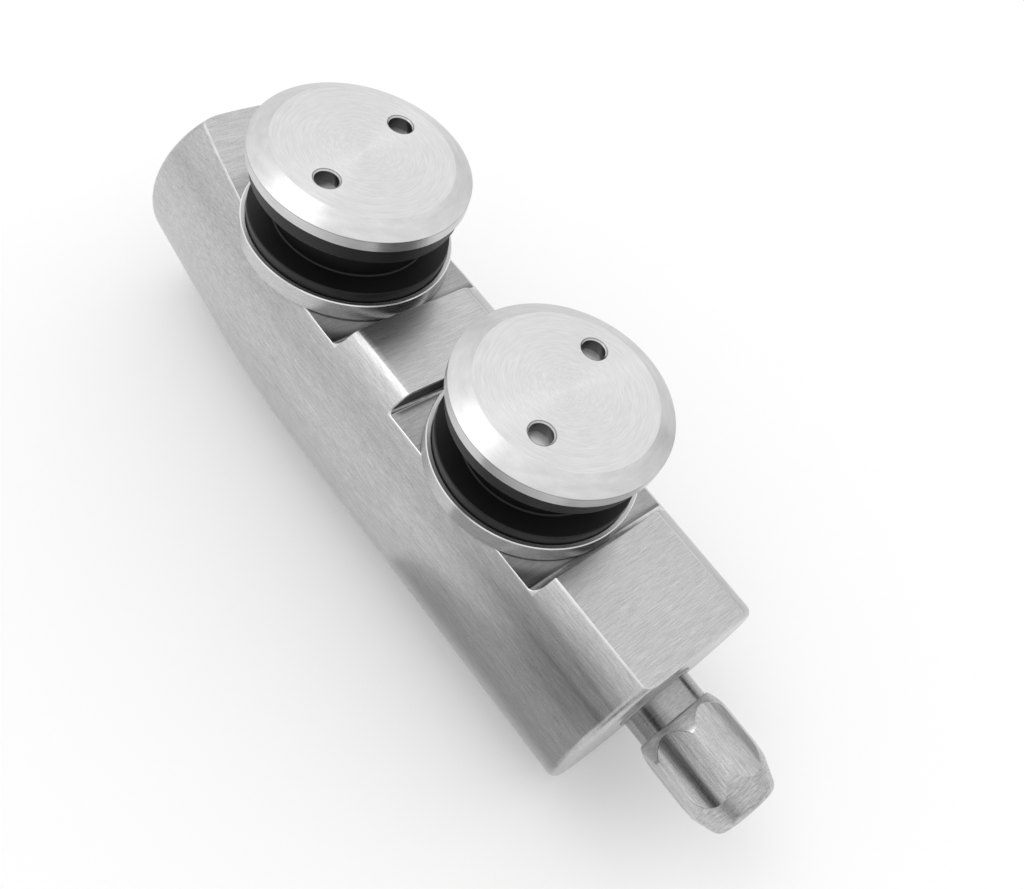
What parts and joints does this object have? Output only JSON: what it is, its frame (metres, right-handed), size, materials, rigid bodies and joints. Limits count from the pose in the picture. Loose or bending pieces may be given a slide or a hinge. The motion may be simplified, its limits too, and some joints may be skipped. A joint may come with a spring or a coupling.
{
  "type": "glass patch fitting",
  "caption": "Pivot patch fitting for a glass door: a flat-topped round bar with screw-down disc clamps for the glass and a turning pivot pin with a flatted head.",
  "frame": {"origin": "on the pivot axis, in the plane of the body's end face that the pin leaves", "axes": "+X out along the pivot pin, +Z the way the clamps stand on the body, square to the glass"},
  "size_m": [0.2036, 0.0574, 0.0767],
  "materials": {
    "body_steel": "satin, brushed along the bar and across the flats",
    "cup_steel": "turned, fine satin",
    "disc_steel": "turned, fine concentric marks",
    "spindle_steel": "turned",
    "head_steel": "satin, smooth flats",
    "screw_steel": "plain",
    "bearing_metal": "plain turned bearing metal",
    "gasket_rubber": "matt black",
    "spacer_plastic": "matt black"
  },
  "bodies": {
    "housing": {"body": "body_steel", "front_bush": "bearing_metal", "rear_bush": "bearing_metal", "thrust_washer": "bearing_metal", "retaining_screw": "screw_steel", "base_cup_1": "cup_steel", "base_screw_1": "screw_steel", "base_dowel_1": "screw_steel", "lower_gasket_1": "gasket_rubber", "spacer_bush_1": "spacer_plastic", "base_cup_2": "cup_steel", "base_screw_2": "screw_steel", "base_dowel_2": "screw_steel", "lower_gasket_2": "gasket_rubber", "spacer_bush_2": "spacer_plastic"},
    "pivot": {"pivot_spindle": "spindle_steel", "pivot_head": "head_steel"},
    "gripper_1": {"upper_gasket_1": "gasket_rubber"},
    "screw_disc_1": {"clamp_disc_1": "disc_steel"},
    "gripper_2": {"upper_gasket_2": "gasket_rubber"},
    "screw_disc_2": {"clamp_disc_2": "disc_steel"}
  },
  "joints": [
    {"name": "pivot_spin", "type": "hinge", "parent": "housing", "child": "pivot", "pos_m": [0, 0, 0], "axis": [1, 0, 0], "continuous": true},
    {"name": "clamp_1_lift", "type": "slide", "parent": "housing", "child": "gripper_1", "axis": [0, 0, 1], "range_m": [-0.002, 0.002]},
    {"name": "clamp_1_screw", "type": "hinge", "parent": "gripper_1", "child": "screw_disc_1", "pos_m": [-0.125, 0, 0.0427], "axis": [0, 0, 1], "range_deg": [-360, 360]},
    {"name": "clamp_2_lift", "type": "slide", "parent": "housing", "child": "gripper_2", "axis": [0, 0, 1], "range_m": [-0.002, 0.002]},
    {"name": "clamp_2_screw", "type": "hinge", "parent": "gripper_2", "child": "screw_disc_2", "pos_m": [-0.055, 0, 0.0427], "axis": [0, 0, 1], "range_deg": [-360, 360]}
  ],
  "couplings": [
    {"joint": "clamp_1_lift", "follows": "clamp_1_screw", "m_per_rad": 0.00031831},
    {"joint": "clamp_2_lift", "follows": "clamp_2_screw", "m_per_rad": 0.00031831}
  ]
}
